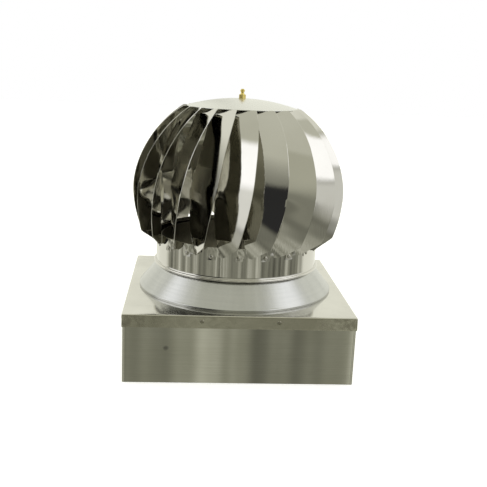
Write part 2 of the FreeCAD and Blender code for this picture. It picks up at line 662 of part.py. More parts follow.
for role in ("YZ_Plane", "XZ_Plane"):
    s = new_sketch(b, "strut_rivet_holes_" + role[:2], role)
    for z in (104.0, 112.0):
        circle(s, 0, z, d("rivet_rad") + 0.05)
    cut(b, s, 400.0, midplane=True)

# ---------------------------------------------------------------- write
doc.recompute()
bad = [o.Name for o in doc.Objects if "Invalid" in o.State or "Error" in o.State]
if bad:
    raise RuntimeError("failed objects: %s" % bad)
for o in BUILT:
    if o.Shape.isNull() or not o.Shape.isValid() or not o.Shape.Solids:
        raise RuntimeError("bad shape: " + o.Label)
os.makedirs("parts", exist_ok=True)
for o in BUILT:
    o.Shape.exportStep("parts/%s.step" % o.Label)
    bb = o.Shape.BoundBox
    print("%-16s solids %2d volume %10.1f  z %7.2f..%7.2f  r/x %7.2f" % (
        o.Label, len(o.Shape.Solids), o.Shape.Volume, bb.ZMin, bb.ZMax, bb.XMax))
print(len(BUILT), "nodes")
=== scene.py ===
import json
import math

import bmesh
import bpy
import numpy as np
from mathutils import Matrix, Vector, noise

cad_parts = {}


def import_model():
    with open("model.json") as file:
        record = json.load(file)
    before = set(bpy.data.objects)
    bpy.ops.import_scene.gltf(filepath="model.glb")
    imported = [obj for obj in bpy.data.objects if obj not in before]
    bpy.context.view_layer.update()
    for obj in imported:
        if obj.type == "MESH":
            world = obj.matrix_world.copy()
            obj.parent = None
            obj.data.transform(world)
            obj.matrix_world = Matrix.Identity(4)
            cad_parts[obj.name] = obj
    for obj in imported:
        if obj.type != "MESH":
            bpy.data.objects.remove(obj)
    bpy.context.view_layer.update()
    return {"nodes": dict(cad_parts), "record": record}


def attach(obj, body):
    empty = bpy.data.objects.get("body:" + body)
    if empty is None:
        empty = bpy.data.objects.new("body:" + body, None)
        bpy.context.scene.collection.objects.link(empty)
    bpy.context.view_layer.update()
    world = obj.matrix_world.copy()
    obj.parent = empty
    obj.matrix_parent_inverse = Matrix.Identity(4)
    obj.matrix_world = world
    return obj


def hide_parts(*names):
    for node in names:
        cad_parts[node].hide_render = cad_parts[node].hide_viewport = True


# Looks of the rotating chimney cowl: fine sheet-metal meshes for the head, the
# flashing and the base, and a node material for every surface.
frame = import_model()
NODES = frame["nodes"]
scene = bpy.context.scene
MM = 0.001


# ---------------------------------------------------------------- mesh tools
def add_mesh(name, verts, faces, body, replaces=None, sharp=38.0):
    me = bpy.data.meshes.new(name)
    me.from_pydata([tuple(c * MM for c in v) for v in verts], [], faces)
    me.validate()
    bm = bmesh.new()
    bm.from_mesh(me)
    bmesh.ops.recalc_face_normals(bm, faces=bm.faces[:])
    bm.to_mesh(me)
    bm.free()
    me.update()
    me.polygons.foreach_set("use_smooth", [True] * len(me.polygons))
    me.set_sharp_from_angle(angle=math.radians(sharp))
    o = bpy.data.objects.new(name, me)
    scene.collection.objects.link(o)
    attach(o, body)
    if replaces:
        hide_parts(replaces)
    return o


def cubic(ts, ys):
    """Natural cubic spline through the rows of ys at the parameters ts."""
    ts, ys = np.asarray(ts, float), np.asarray(ys, float)
    n = len(ts)
    hh = np.diff(ts)
    a = np.zeros((n, n))
    rhs = np.zeros_like(ys)
    a[0, 0] = a[-1, -1] = 1.0
    for i in range(1, n - 1):
        a[i, i - 1], a[i, i], a[i, i + 1] = hh[i - 1], 2 * (hh[i - 1] + hh[i]), hh[i]
        rhs[i] = 6 * ((ys[i + 1] - ys[i]) / hh[i] - (ys[i] - ys[i - 1]) / hh[i - 1])
    m = np.linalg.solve(a, rhs)

    def at(t):
        i = int(min(max(np.searchsorted(ts, t) - 1, 0), n - 2))
        h, p, q = hh[i], ts[i + 1] - t, t - ts[i]
        return (m[i] * p ** 3 + m[i + 1] * q ** 3) / (6 * h) + (ys[i] / h - m[i] * h / 6) * p + (ys[i + 1] / h - m[i + 1] * h / 6) * q

    return at


def revolve(name, profile, steps, body, replaces, push=None, sharp=38.0):
    """Closed profile of (radius, height) turned about Z. push(angle, r, z)
    gives a small change of radius."""
    verts, faces = [], []
    n = len(profile)
    for i in range(steps):
        a = 2 * math.pi * i / steps
        for r, z in profile:
            rr = r + (push(a, r, z) if push else 0.0)
            verts.append((rr * math.cos(a), rr * math.sin(a), z))
    for i in range(steps):
        j = (i + 1) % steps
        for k in range(n):
            l = (k + 1) % n
            faces.append((i * n + k, i * n + l, j * n + l, j * n + k))
    return add_mesh(name, verts, faces, body, replaces, sharp)


def wave(x, y, z, scale):
    return noise.noise(Vector((x * scale, y * scale, z * scale)))


# ---------------------------------------------------------------- vanes
LID = 91.0
LEAD, PHASE, COUNT, SHEET = 27.0, -113.0, 20, 0.8
BALL_Z, BALL_TOP = 102.0, 252.15
VANE = [
    (50.0, 122.5, -11.2, 46.5, 18.0), (62.0, 129.0, -9.5, 46.5, 30.5), (72.0, 133.6, -8.2, 46.5, 39.0),
    (82.0, 137.5, -7.0, 46.5, 45.0), (95.0, 141.2, -5.5, 46.5, 50.5), (110.0, 144.3, -4.1, 46.2, 55.0),
    (125.0, 146.1, -2.7, 45.0, 57.0), (145.0, 146.4, -1.25, 42.5, 58.0), (165.0, 143.1, 0.0, 41.5, 55.5),
    (188.0, 135.2, 1.2, 40.0, 51.5), (208.0, 124.6, 2.5, 37.0, 48.0), (226.0, 111.2, 3.8, 33.5, 44.0),
    (241.0, 95.8, 5.05, 28.0, 41.0), (252.0, 80.5, 5.9, 22.5, 39.0), (257.0, 72.0, 6.3, 20.0, 38.0),
]


def vane_curves():
    def edge(i):
        z, r, a = VANE[i][0], VANE[i][1], math.radians(LEAD + VANE[i][2])
        return Vector((r * math.cos(a), r * math.sin(a), LID + z))

    corners = []
    for i in range(len(VANE)):
        lo, hi = max(i - 1, 0), min(i + 1, len(VANE) - 1)
        along = (edge(hi) - edge(lo)).normalized()
        az = math.radians(LEAD + VANE[i][2])
        out = Vector((math.cos(az), math.sin(az), 0))
        back = Vector((math.sin(az), -math.cos(az), 0))
        slope = (VANE[hi][1] - VANE[lo][1]) / (VANE[hi][0] - VANE[lo][0])
        face = (out - Vector((0, 0, slope))).normalized()
        lean = math.radians(VANE[i][3])
        wide = back * math.cos(lean) - face * math.sin(lean)
        wide = (wide - along * wide.dot(along)).normalized()
        thick = along.cross(wide)
        o = edge(i)
        corners.append([tuple(o), tuple(o + wide * VANE[i][4]), tuple(o + wide * VANE[i][4] + thick * SHEET), tuple(o + thick * SHEET)])
    c = np.array(corners)
    mid = c.mean(1)
    t = np.concatenate([[0], np.cumsum(np.linalg.norm(np.diff(mid, axis=0), axis=1))])
    return t, cubic(t, c.reshape(len(VANE), 12))


T_KNOT, CORNERS = vane_curves()
VANE_NU, VANE_NS = 17, 104


def above_foot(p):
    r = math.hypot(p[0], p[1])
    if r < 113.55:
        return p[2] > 170.2
    if r < 118.0:
        return p[2] > 157.0
    if r < 137.0:
        return p[2] > 157.0 + (r - 118.0) / 19.0 * 15.5
    return p[2] > 172.5 + (r - 137.0) / 23.0 * 15.5


def below_dome(p):
    if math.hypot(p[0], p[1]) < 76.6:
        return math.dist(p, (0, 0, BALL_Z)) < BALL_TOP - 0.45
    return p[2] < 343.2


def vane_mesh(k):
    """Blade and foot tab of vane k as one list of vertices and faces."""
    nu, ns = VANE_NU, VANE_NS
    us = [0.006 + 0.988 * i / (nu - 1) for i in range(nu)]
    loop = [(u, 0.0) for u in us] + [(1.0, 0.25), (1.0, 0.75)] + [(u, 1.0) for u in reversed(us)] + [(0.0, 0.75), (0.0, 0.25)]

    def point(t, u, h):
        c = CORNERS(t).reshape(4, 3)
        return c[0] * (1 - u) * (1 - h) + c[1] * u * (1 - h) + c[2] * u * h + c[3] * (1 - u) * h

    ends = {}
    for u, _ in loop:
        if u in ends:
            continue
        ts = np.linspace(T_KNOT[0], T_KNOT[-1], 400)
        ps = [point(t, u, 0.5) for t in ts]
        lo = next(i for i, p in enumerate(ps) if above_foot(p))
        hi = next(i for i in range(len(ps) - 1, -1, -1) if below_dome(ps[i]))
        ends[u] = (ts[lo], ts[hi])
    turn = math.radians(PHASE + 360.0 / COUNT * k)
    ca, sa = math.cos(turn), math.sin(turn)
    seed = 7.31 * k
    verts, faces = [], []
    m = len(loop)
    for j in range(ns + 1):
        for u, h in loop:
            lo, hi = ends[u]
            t = lo + (hi - lo) * j / ns
            c = CORNERS(t).reshape(4, 3)
            p = c[0] * (1 - u) * (1 - h) + c[1] * u * (1 - h) + c[2] * u * h + c[3] * (1 - u) * h
            q = (c[3] - c[0]) * (1 - u) + (c[2] - c[1]) * u
            q = q / np.linalg.norm(q)
            calm = min(1.0, j / 10.0, (ns - j) / 10.0)
            d = 0.035 * calm * wave(p[0] + seed * 9.0, p[1], p[2], 1 / 34.0)
            d += 0.008 * calm * wave(p[0], p[1] + seed * 5.0, p[2], 1 / 13.0)
            p = p + q * d
            verts.append((p[0] * ca - p[1] * sa, p[0] * sa + p[1] * ca, p[2]))
    for j in range(ns):
        for i in range(m):
            l = (i + 1) % m
            faces.append((j * m + i, j * m + l, (j + 1) * m + l, (j + 1) * m + i))
    for row, flip in ((0, True), (ns, False)):
        b = row * m
        for i in range(nu - 1):
            q = (b + i, b + i + 1, b + 2 * nu + 1 - (i + 1) - 0, b + 2 * nu + 1 - i)
            faces.append(tuple(reversed(q)) if not flip else q)
        e1 = (b + nu - 1, b + nu, b + nu + 1, b + nu + 2)
        e0 = (b + 0, b + 2 * nu + 1, b + 2 * nu + 2, b + 2 * nu + 3)
        faces.append(tuple(reversed(e1)) if not flip else e1)
        faces.append(tuple(reversed(e0)) if not flip else e0)
    # tab along the skirt with its ear, a sheet with a short bent foot
    r0 = 113.55
    cols = [9.6 * i / 26 for i in range(27)]
    cut = min(range(27), key=lambda i: abs(cols[i] - 6.0))
    rows = [152.3, 152.8, 154.0, 155.5, 157.0, 158.5, 160.5, 162.5, 164.5, 166.5, 168.3, 169.3]
    low = 4
    base = len(verts)
    index = {}
    for side in (0, 1):
        for i, a in enumerate(cols):
            for j, z in enumerate(rows):
                if i > cut and j < low:
                    continue
                aa, zz = a, z
                if j == 0 and i in (0, cut):
                    zz += 0.7
                if j == 1 and i in (0, cut):
                    zz += 0.25
                bend = 0.0
                near = math.hypot((a - 3.0) * 1.98, z - 156.8)
                loose = min(1.0, max(0.0, (near - 3.0) / 4.0))
                bend += loose * 0.30 * (0.6 + wave(a * 2.0 + seed * 3.0, z, 0.0, 1 / 6.0))
                bend += loose * 0.25 * max(0.0, (z - 163.0) / 6.3) ** 2
                rr = r0 + max(0.0, bend) + side * SHEET
                an = math.radians(aa) + turn
                index[(side, i, j)] = len(verts)
                verts.append((rr * math.cos(an), rr * math.sin(an), zz))
    def has(i, j):
        return (0, i, j) in index
    for i in range(len(cols) - 1):
        for j in range(len(rows) - 1):
            if not (has(i, j) and has(i + 1, j) and has(i, j + 1) and has(i + 1, j + 1)):
                continue
            faces.append((index[(1, i, j)], index[(1, i + 1, j)], index[(1, i + 1, j + 1)], index[(1, i, j + 1)]))
            faces.append((index[(0, i, j + 1)], index[(0, i + 1, j + 1)], index[(0, i + 1, j)], index[(0, i, j)]))
            for (a, b) in (((i, j), (i + 1, j)), ((i + 1, j), (i + 1, j + 1)), ((i + 1, j + 1), (i, j + 1)), ((i, j + 1), (i, j))):
                # an edge is on the rim where the cell on its other side is missing
                di, dj = (0, -1) if a[1] == b[1] == j else (1, 0) if a[0] == b[0] == i + 1 else (0, 1) if a[1] == b[1] == j + 1 else (-1, 0)
                ni, nj = i + di, j + dj
                other = 0 <= ni < len(cols) - 1 and 0 <= nj < len(rows) - 1 and has(ni, nj) and has(ni + 1, nj) and has(ni, nj + 1) and has(ni + 1, nj + 1)
                if not other:
                    faces.append((index[(0, *a)], index[(0, *b)], index[(1, *b)], index[(1, *a)]))
    return verts, faces


VANES = []
for k in range(COUNT):
    n = "vane_%02d" % (k + 1)
    v, f = vane_mesh(k)
    o = add_mesh(n + "_sheet", v, f, "rotor", n, sharp=30.0)
    # the first faces of each section loop are the blade's inner side
    idx = [0] * len(o.data.polygons)
    for j in range(VANE_NS):
        for i in range(VANE_NU - 1):
            idx[j * (2 * VANE_NU + 4) + i] = 1
    o["inner_faces"] = 1
    o.data.polygons.foreach_set("material_index", idx)
    VANES.append(o)


# ---------------------------------------------------------------- skirt, flashing
def arc(cx, cz, r, a0, a1, n):
    return [(cx + r * math.cos(math.radians(a0 + (a1 - a0) * i / n)), cz + r * math.sin(math.radians(a0 + (a1 - a0) * i / n))) for i in range(n + 1)]


skirt_profile = [(112.7, 169.15), (112.85, 169.3), (113.35, 169.3), (113.5, 169.15)]
skirt_profile += [(113.5, 169.15 - 38.65 * i / 16) for i in range(1, 17)]
skirt_profile += [(113.53, 129.6), (113.7, 128.75), (114.05, 128.42)]
skirt_profile += arc(114.6, 126.6, 1.9, 84, -180, 22)
skirt_profile += [(112.7, 131.0 + 38.0 * i / 4) for i in range(4)]
SEAM = math.radians(-163.0)


def skirt_push(a, r, z):
    d = (a - SEAM + math.pi) % (2 * math.pi) - math.pi
    push = 0.0
    if r > 113.2 and 129.7 < z < 151.0:
        push += 0.38 * (1.0 if 0.0 <= d < 0.07 else max(0.0, 1.0 - (d - 0.07) / 0.25) if d >= 0.07 else 0.0) * min(1.0, (151.0 - z) / 3.0)
    return push + 0.04 * noise.noise(Vector((2.6 * math.cos(a), 2.6 * math.sin(a), z / 60.0)))


skirt = revolve("rotor_skirt_sheet", skirt_profile, 288, "rotor", "rotor_skirt", skirt_push)

cone_outer = [(136.3, 91.05), (136.5, 91.3), (136.5, 92.4), (136.5, 93.5), (136.42, 93.9), (136.15, 94.3)]
cone_outer += [(135.7 - 22.1 * i / 20, 94.76 + 26.76 * i / 20) for i in range(21)]
cone_outer += [(111.6, 123.95), (109.9, 126.2), (108.75, 128.0), (108.05, 129.7), (107.85, 131.2), (107.85, 133.7), (107.7, 134.0)]
cone_inner = [(107.2, 134.0), (107.05, 133.8), (107.05, 130.0), (109.1, 125.6), (115.3, 118.1), (128.0, 102.8), (135.2, 94.1), (135.7, 93.4), (135.7, 91.05)]
cone = revolve("cone_flashing_sheet", cone_outer + cone_inner, 256, "base", "cone_flashing")


# Dome with its rim edge rounded over.
def on_ball(radius, r):
    return BALL_Z + math.sqrt(radius * radius - r * r)


dome_profile = [(4.15 + (75.6 - 4.15) * i / 30, on_ball(253.0, 4.15 + (75.6 - 4.15) * i / 30)) for i in range(31)]
dome_profile += [(75.84, on_ball(253.0, 75.84) - 0.06), (75.96, on_ball(253.0, 75.96) - 0.22), (75.98, on_ball(252.6, 75.98)),
                 (75.96, on_ball(252.2, 75.96) + 0.2), (75.84, on_ball(252.2, 75.84) + 0.05)]
dome_profile += [(75.6 - (75.6 - 4.15) * i / 16, on_ball(252.2, 75.6 - (75.6 - 4.15) * i / 16)) for i in range(17)]
dome = revolve("dome_cap_sheet", dome_profile, 192, "rotor", "dome_cap")


# ---------------------------------------------------------------- base
def square_ring(half, corner, n_side=60, n_corner=6):
    """Points round a square with rounded corners, the same count for any size."""
    pts = []
    for q in range(4):
        c, s = math.cos(q * math.pi / 2), math.sin(q * math.pi / 2)
        flat = half - corner
        side = [(half, -flat + 2 * flat * (i + 0.5) / n_side) for i in range(n_side)]
        bend = [(flat + corner * math.cos(math.radians(90.0 * (i + 0.5) / n_corner)),
                 flat + corner * math.sin(math.radians(90.0 * (i + 0.5) / n_corner))) for i in range(n_corner)]
        pts += [(x * c - y * s, x * s + y * c) for x, y in side + bend]
    return pts


def loft(name, rings, body, replaces, sharp=38.0):
    """Rings of equal count joined in order, the last to the first."""
    n, m = len(rings[0]), len(rings)
    verts = [p for r in rings for p in r]
    faces = [(j * n + i, j * n + (i + 1) % n, ((j + 1) % m) * n + (i + 1) % n, ((j + 1) % m) * n + i) for j in range(m) for i in range(n)]
    return add_mesh(name, verts, faces, body, replaces, sharp)


def half_noise(x, y, z, scale):
    return 0.5 + 0.5 * max(-1.0, min(1.0, wave(x, y, z, scale)))


# Lid: flat top, sides folded down, corners beaten over and dressed.
LID_HALF, LID_HOLE, LID_LOW = 150.0, 107.1, 74.0


def lid_side(inset, z, drop=0.0):
    out = []
    for x, y in square_ring(LID_HALF - inset, max(1.6 - inset, 0.35)):
        big, small = max(abs(x), abs(y)), min(abs(x), abs(y))
        near = max(0.0, min(1.0, (small - 104.0) / 26.0))
        dent = 0.035 * half_noise(x, y, z, 1 / 42.0) + near * 0.30 * half_noise(x + 31, y, z * 1.4, 1 / 7.5) ** 1.5
        dent += near * 0.03 * half_noise(x, y + 17, z, 1 / 3.2)
        k = (big - dent * drop) / big
        lift = 0.22 * drop * half_noise(x, y, 5.0, 1 / 55.0) if z < LID_LOW + 0.5 else 0.0
        out.append((x * k, y * k, z + lift))
    return out


def lid_flat(z, s):
    """Ring between the round hole (s = 0) and the fold (s = 1)."""
    out = []
    for x, y in square_ring(LID_HALF - 1.6, 0.35):
        a = math.atan2(y, x)
        px = LID_HOLE * math.cos(a) * (1 - s) + x * s
        py = LID_HOLE * math.sin(a) * (1 - s) + y * s
        out.append((px, py, z - 0.02 * half_noise(px, py, 0.0, 1 / 60.0) * min(1.0, 4 * (1 - s))))
    return out


lid_rings = [lid_flat(91.0, s) for s in (0.0, 0.04, 0.12, 0.22, 0.34, 0.46, 0.58, 0.7, 0.8, 0.89, 0.95, 1.0)]
lid_rings += [lid_side(1.6 - 1.6 * math.sin(math.radians(a)), 89.4 + 1.6 * math.cos(math.radians(a)), a / 90.0) for a in (18, 36, 54, 72, 90)]
lid_rings += [lid_side(0.0, 89.4 - (89.4 - LID_LOW - 0.3) * i / 12, 1.0) for i in range(1, 13)]
lid_rings += [lid_side(0.15, LID_LOW, 1.0), lid_side(0.85, LID_LOW, 1.0), lid_side(1.0, LID_LOW + 0.3, 0.3)]
lid_rings += [lid_side(1.0, z, 0.0) for z in (80.0, 86.0, 90.0)]
lid_rings += [lid_flat(90.0, s) for s in (0.7, 0.3, 0.0)]
lid = loft("cover_plate_sheet", lid_rings, "base", "cover_plate")
LID_RING = len(lid_rings[0])

# Sleeve: folded sheet, nearly flat.
BOX_HALF = 148.9


def box_ring(half, z):
    out = []
    for x, y in square_ring(half, 2.0 - (BOX_HALF - half)):
        big = max(abs(x), abs(y))
        k = 1.0 - (0.016 * half_noise(x, y, z, 1 / 46.0) + 0.008 * half_noise(x + 9, y, z, 1 / 24.0)) / big
        out.append((x * k, y * k, z))
    return out


box_rings = [box_ring(BOX_HALF - 0.12, 0.0), box_ring(BOX_HALF, 0.12)] + [box_ring(BOX_HALF, 0.5 + 89.0 * i / 30) for i in range(31)]
box_rings += [box_ring(BOX_HALF - 0.12, 90.0), box_ring(BOX_HALF - 1.0, 90.0)] + [box_ring(BOX_HALF - 1.0, 90.0 - 90.0 * i / 5) for i in range(1, 6)]
sleeve = loft("base_box_sheet", box_rings, "base", "base_box")


# ---------------------------------------------------------------- node tools
class Nodes:
    def __init__(self, tree):
        self.tree = tree
        self.tree.nodes.clear()

    def add(self, kind, values=None, **props):
        n = self.tree.nodes.new(kind)
        for key, value in props.items():
            setattr(n, key, value)
        for key, value in (values or {}).items():
            if hasattr(value, "bl_idname") and hasattr(value, "is_output"):
                self.tree.links.new(value, n.inputs[key])
            else:
                n.inputs[key].default_value = value
        return n

    def math(self, op, a, b=0.0, c=0.0, clamp=False):
        n = self.add("ShaderNodeMath", {0: a, 1: b, 2: c}, operation=op, use_clamp=clamp)
        return n.outputs[0]

    def mix(self, fac, a, b, blend="MIX"):
        n = self.add("ShaderNodeMix", {0: fac, 6: a, 7: b}, data_type="RGBA", blend_type=blend)
        return n.outputs[2]

    def ramp(self, fac, stops, mode="LINEAR"):
        n = self.add("ShaderNodeValToRGB", {0: fac})
        e = n.color_ramp
        e.interpolation = mode
        while len(e.elements) < len(stops):
            e.elements.new(0.5)
        for el, (pos, col) in zip(e.elements, stops):
            el.position = pos
            el.color = (*col, 1.0) if len(col) == 3 else col
        return n.outputs[0]

    def remap(self, v, a, b, c, d):
        return self.add("ShaderNodeMapRange", {0: v, 1: a, 2: b, 3: c, 4: d}).outputs[0]

    def noise(self, vec, scale, detail=3.0, rough=0.55, distort=0.0):
        return self.add("ShaderNodeTexNoise", {"Vector": vec, "Scale": scale, "Detail": detail, "Roughness": rough, "Distortion": distort}).outputs[0]

    def scaled(self, vec, s, loc=(0, 0, 0)):
        return self.add("ShaderNodeMapping", {"Vector": vec, "Location": loc, "Scale": s}).outputs[0]


def material(name):
    m = bpy.data.materials.new(name)
    m.use_nodes = True
    g = Nodes(m.node_tree)
    g.mat = m
    g.out = g.add("ShaderNodeOutputMaterial")
    g.bsdf = g.add("ShaderNodeBsdfPrincipled")
    g.tree.links.new(g.bsdf.outputs[0], g.out.inputs[0])
    g.co = g.add("ShaderNodeTexCoord").outputs["Object"]
    return g


def link(g, key, out):
    g.tree.links.new(out, g.bsdf.inputs[key])


def own_coords(g):
    """Object coordinates shifted by a number of the object's own."""
    r = g.add("ShaderNodeObjectInfo").outputs["Random"]
    shift = g.add("ShaderNodeCombineXYZ", {0: g.math("MULTIPLY", r, 3.1), 1: g.math("MULTIPLY", r, 7.7), 2: g.math("MULTIPLY", r, 1.9)}).outputs[0]
    return g.add("ShaderNodeVectorMath", {0: g.co, 1: shift}, operation="ADD").outputs[0]


def polished():
    g = material("polished_steel_look")
    co = own_coords(g)
    smear = g.noise(co, 22.0, 4.0, 0.6)
    cloud = g.noise(co, 9.0, 2.0)
    lines = g.noise(g.scaled(co, (900.0, 900.0, 12.0)), 1.0, 2.0)
    col = g.ramp(cloud, [(0.3, (0.60, 0.59, 0.555)), (0.7, (0.66, 0.65, 0.62))])
    link(g, "Base Color", g.mix(g.remap(smear, 0.45, 0.75, 0.0, 0.22), col, (0.54, 0.52, 0.47, 1)))
    rough = g.math("ADD", g.remap(smear, 0.35, 0.75, 0.025, 0.07), g.remap(lines, 0.3, 0.7, 0.0, 0.02))
    link(g, "Roughness", rough)
    b = g.add("ShaderNodeBump", {"Strength": 0.05, "Distance": 0.0004, "Height": g.math("ADD", lines, g.math("MULTIPLY", smear, 0.6))})
    link(g, "Normal", b.outputs[0])
    g.bsdf.inputs["Metallic"].default_value = 1.0
    return g.mat


def plain_metal(name, low, high, rough, scale=40.0, stretch=(1, 1, 1), bump=0.1, dist=0.0003):
    g = material(name)
    co = g.scaled(own_coords(g), stretch)
    a = g.noise(co, scale, 4.0, 0.6)
    b = g.noise(co, scale * 6.0, 3.0, 0.6)
    link(g, "Base Color", g.ramp(a, [(0.3, low), (0.7, high)]))
    link(g, "Roughness", g.remap(g.math("ADD", g.math("MULTIPLY", a, 0.7), g.math("MULTIPLY", b, 0.3)), 0.3, 0.7, rough[0], rough[1]))
    n = g.add("ShaderNodeBump", {"Strength": bump, "Distance": dist, "Height": b})
    link(g, "Normal", n.outputs[0])
    g.bsdf.inputs["Metallic"].default_value = 1.0
    return g.mat


def spun(name, low, high, rough, fine):
    """Metal turned on a lathe: fine rings round the Z axis and soft streaks that
    run down the slope."""
    g = material(name)
    flat = g.add("ShaderNodeVectorMath", {0: g.co, 1: (1.0, 1.0, 0.0)}, operation="MULTIPLY").outputs[0]
    radius = g.add("ShaderNodeVectorMath", {0: flat}, operation="LENGTH").outputs["Value"]
    sep = g.add("ShaderNodeSeparateXYZ", {0: g.co}).outputs
    turn = g.math("ARCTAN2", sep[1], sep[0])
    ring = g.add("ShaderNodeCombineXYZ", {0: g.math("MULTIPLY", radius, fine), 1: g.math("MULTIPLY", sep[2], fine), 2: g.math("MULTIPLY", turn, 0.8)}).outputs[0]
    rings = g.noise(ring, 1.0, 3.0, 0.6)
    streak = g.noise(g.add("ShaderNodeCombineXYZ", {0: g.math("MULTIPLY", turn, 6.0), 1: g.math("MULTIPLY", radius, 9.0), 2: 0.3}).outputs[0], 1.0, 3.0, 0.55)
    cloud = g.noise(g.co, 26.0, 3.0)
    col = g.mix(g.remap(streak, 0.3, 0.7, 0.0, 1.0), (*low, 1.0), (*high, 1.0))
    col = g.mix(g.remap(rings, 0.35, 0.75, 0.0, 0.20), col, (low[0] * 0.75, low[1] * 0.77, low[2] * 0.80, 1.0))
    col = g.mix(g.remap(cloud, 0.5, 0.8, 0.0, 0.25), col, (high[0], high[1] * 0.98, high[2] * 0.93, 1.0))
    link(g, "Base Color", col)
    link(g, "Roughness", g.remap(g.math("ADD", g.math("MULTIPLY", streak, 0.6), g.math("MULTIPLY", rings, 0.4)), 0.3, 0.7, rough[0], rough[1]))
    b = g.add("ShaderNodeBump", {"Strength": 0.03, "Distance": 0.0003, "Height": rings})
    link(g, "Normal", b.outputs[0])
    g.bsdf.inputs["Metallic"].default_value = 1.0
    return g.mat


def rolled(name, low, high, rough, stain=0.25, spot=None):
    """Mill-rolled sheet: fine level lines, faint clouds and handling marks."""
    g = material(name)
    lines = g.noise(g.scaled(g.co, (9.0, 9.0, 900.0)), 1.0, 3.0, 0.6)
    cloud = g.noise(g.co, 14.0, 3.0, 0.5)
    wipe = g.noise(g.scaled(g.co, (30.0, 30.0, 110.0)), 1.0, 4.0, 0.62, 0.6)
    col = g.mix(g.remap(cloud, 0.3, 0.7, 0.0, 1.0), (*low, 1.0), (*high, 1.0))
    col = g.mix(g.remap(lines, 0.4, 0.8, 0.0, 0.22), col, (low[0] * 0.72, low[1] * 0.72, low[2] * 0.70, 1.0))
    col = g.mix(g.remap(wipe, 0.52, 0.78, 0.0, stain), col, (low[0] * 0.70, low[1] * 0.71, low[2] * 0.72, 1.0))
    if spot:
        far = g.add("ShaderNodeVectorMath", {0: g.co, 1: spot}, operation="DISTANCE").outputs["Value"]
        edge = g.math("ADD", far, g.math("MULTIPLY", g.math("SUBTRACT", wipe, 0.5), 0.004))
        col = g.mix(g.remap(edge, 0.0012, 0.0042, 0.55, 0.0), col, (0.10, 0.10, 0.11, 1.0))
    link(g, "Base Color", col)
    link(g, "Roughness", g.remap(g.math("ADD", g.math("MULTIPLY", wipe, 0.6), g.math("MULTIPLY", lines, 0.4)), 0.3, 0.7, rough[0], rough[1]))
    b = g.add("ShaderNodeBump", {"Strength": 0.03, "Distance": 0.0002, "Height": lines})
    link(g, "Normal", b.outputs[0])
    g.bsdf.inputs["Metallic"].default_value = 1.0
    return g.mat


def flange_metal():
    """The lid's folded side: dull, scuffed, with heat marks at the corners."""
    g = material("flange_look")
    sep = g.add("ShaderNodeSeparateXYZ", {0: g.co}).outputs
    corner = g.remap(g.math("MINIMUM", g.math("ABSOLUTE", sep[0]), g.math("ABSOLUTE", sep[1])), 0.085, 0.140, 0.0, 1.0)
    scuff = g.noise(g.scaled(g.co, (60.0, 60.0, 90.0)), 1.0, 4.0, 0.6, 0.8)
    beat = g.noise(g.co, 115.0, 2.0, 0.5, 0.7)
    cloud = g.noise(g.co, 18.0, 3.0)
    col = g.ramp(cloud, [(0.3, (0.50, 0.485, 0.40)), (0.7, (0.62, 0.605, 0.52))])
    col = g.mix(g.remap(scuff, 0.45, 0.8, 0.0, 0.45), col, (0.34, 0.325, 0.27, 1.0))
    heat = g.math("MULTIPLY", corner, g.remap(beat, 0.42, 0.62, 0.0, 1.0))
    col = g.mix(g.math("MULTIPLY", heat, 0.5), col, (0.27, 0.255, 0.205, 1.0))
    link(g, "Base Color", col)
    link(g, "Roughness", g.math("ADD", g.remap(scuff, 0.3, 0.7, 0.15, 0.27), g.math("MULTIPLY", heat, 0.12)))
    b = g.add("ShaderNodeBump", {"Strength": 0.25, "Distance": 0.0005, "Height": g.math("ADD", g.math("MULTIPLY", beat, corner), g.math("MULTIPLY", scuff, 0.15))})
    link(g, "Normal", b.outputs[0])
    g.bsdf.inputs["Metallic"].default_value = 1.0
    return g.mat


LOOK = {
    "polished_steel": polished(),
    "sheet_steel": rolled("lid_look", (0.61, 0.60, 0.555), (0.68, 0.67, 0.625), (0.08, 0.15)),
    "spun_steel": spun("spun_steel_look", (0.50, 0.505, 0.495), (0.57, 0.575, 0.565), (0.22, 0.28), 350.0),
    "inner_steel": plain_metal("inner_steel_look", (0.20, 0.19, 0.165), (0.30, 0.285, 0.25), (0.25, 0.4)),
    "plated_steel": plain_metal("plated_steel_look", (0.50, 0.49, 0.44), (0.62, 0.61, 0.56), (0.3, 0.45)),
    "turned_steel": plain_metal("turned_steel_look", (0.55, 0.55, 0.54), (0.65, 0.65, 0.64), (0.15, 0.3), 30.0, (1, 1, 30)),
    "bronze": plain_metal("bronze_look", (0.45, 0.29, 0.13), (0.60, 0.41, 0.20), (0.3, 0.45)),
    "brass": plain_metal("brass_look", (0.62, 0.48, 0.13), (0.80, 0.66, 0.24), (0.2, 0.35)),
    "rivet_metal": plain_metal("rivet_metal_look", (0.42, 0.41, 0.37), (0.54, 0.53, 0.49), (0.18, 0.32)),
}
SLOT_OF = {s["node"]: s["material_slot"] for s in frame["record"]["subparts"]}
for name, o in NODES.items():
    o.data.materials.clear()
    o.data.materials.append(LOOK[SLOT_OF[name]])
if "lid_rivets" in NODES:
    NODES["lid_rivets"].data.materials[0] = plain_metal("lid_rivet_look", (0.27, 0.26, 0.21), (0.38, 0.365, 0.30), (0.3, 0.45), 220.0)
dull = plain_metal("vane_inner_look", (0.50, 0.49, 0.435), (0.62, 0.605, 0.55), (0.04, 0.09), 30.0, (1, 1, 0.35), 0.05)
for o in VANES:
    o.data.materials.append(LOOK["polished_steel"])
    o.data.materials.append(dull)
skirt.data.materials.append(LOOK["polished_steel"])
cone.data.materials.append(LOOK["spun_steel"])
dome.data.materials.append(plain_metal("dome_look", (0.715, 0.715, 0.69), (0.755, 0.755, 0.735), (0.24, 0.31), 14.0, (1, 1, 1), 0.015, 0.0002))
